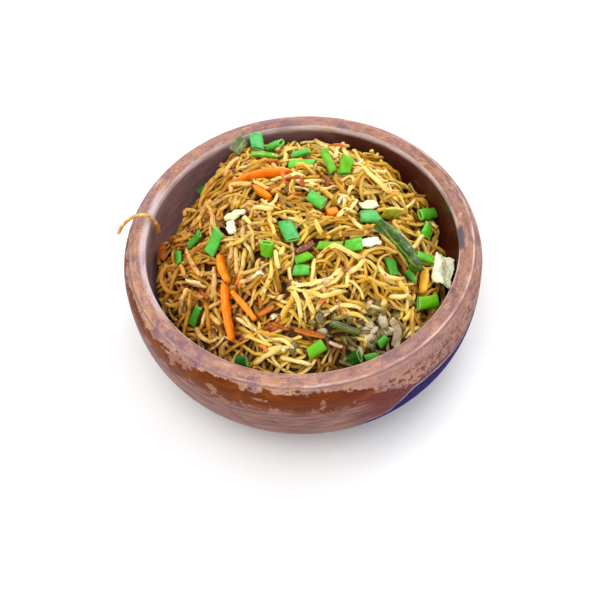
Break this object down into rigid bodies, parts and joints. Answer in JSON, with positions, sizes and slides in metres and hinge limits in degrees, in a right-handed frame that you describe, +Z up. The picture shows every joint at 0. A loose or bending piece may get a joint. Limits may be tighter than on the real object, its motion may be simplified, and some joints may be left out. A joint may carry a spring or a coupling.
{
  "type": "bowl of chinese bhel",
  "caption": "Round thick-walled wooden bowl heaped with crisp fried noodles, cut spring onion, carrot sticks, capsicum, cabbage and onion; rests on a flat foot.",
  "frame": {"origin": "centre of the bowl's flat foot, on the surface that it stands on", "axes": "+Z up out of the bowl, -Y towards the diner, +X to the diner's right"},
  "size_m": [0.1627, 0.16, 0.0772],
  "materials": {
    "bowl_wood": "turned wood, old lacquer worn to pale pinkish wood on the rim",
    "noodle": "crisp fried noodle with a thin brown sauce",
    "scallion": "moist fresh leaf",
    "carrot": "moist raw carrot",
    "capsicum": "shiny skin",
    "cabbage": "crisp pale leaf",
    "onion": "translucent, lightly cooked"
  },
  "bodies": {
    "root": {"bowl": "bowl_wood", "noodle_heap": "noodle", "scallion_01": "scallion", "scallion_02": "scallion", "scallion_03": "scallion", "scallion_04": "scallion", "scallion_05": "scallion", "scallion_06": "scallion", "scallion_07": "scallion", "scallion_08": "scallion", "scallion_09": "scallion", "scallion_10": "scallion", "scallion_11": "scallion", "scallion_12": "scallion", "scallion_13": "scallion", "scallion_14": "scallion", "scallion_15": "scallion", "scallion_16": "scallion", "scallion_17": "scallion", "scallion_18": "scallion", "scallion_19": "scallion", "scallion_20": "scallion", "scallion_21": "scallion", "scallion_22": "scallion", "scallion_23": "scallion", "scallion_24": "scallion", "scallion_25": "scallion", "scallion_26": "scallion", "scallion_27": "scallion", "scallion_28": "scallion", "scallion_29": "scallion", "scallion_30": "scallion", "carrot_01": "carrot", "carrot_02": "carrot", "carrot_03": "carrot", "carrot_04": "carrot", "carrot_05": "carrot", "carrot_06": "carrot", "carrot_07": "carrot", "carrot_08": "carrot", "carrot_09": "carrot", "carrot_10": "carrot", "carrot_11": "carrot", "carrot_12": "carrot", "capsicum_01": "capsicum", "capsicum_02": "capsicum", "capsicum_03": "capsicum", "capsicum_04": "capsicum", "capsicum_05": "capsicum", "cabbage_01": "cabbage", "cabbage_02": "cabbage", "cabbage_03": "cabbage", "cabbage_04": "cabbage", "cabbage_05": "cabbage", "onion_01": "onion", "onion_02": "onion", "onion_03": "onion", "onion_04": "onion", "rim_noodle": "noodle"}
  },
  "joints": []
}
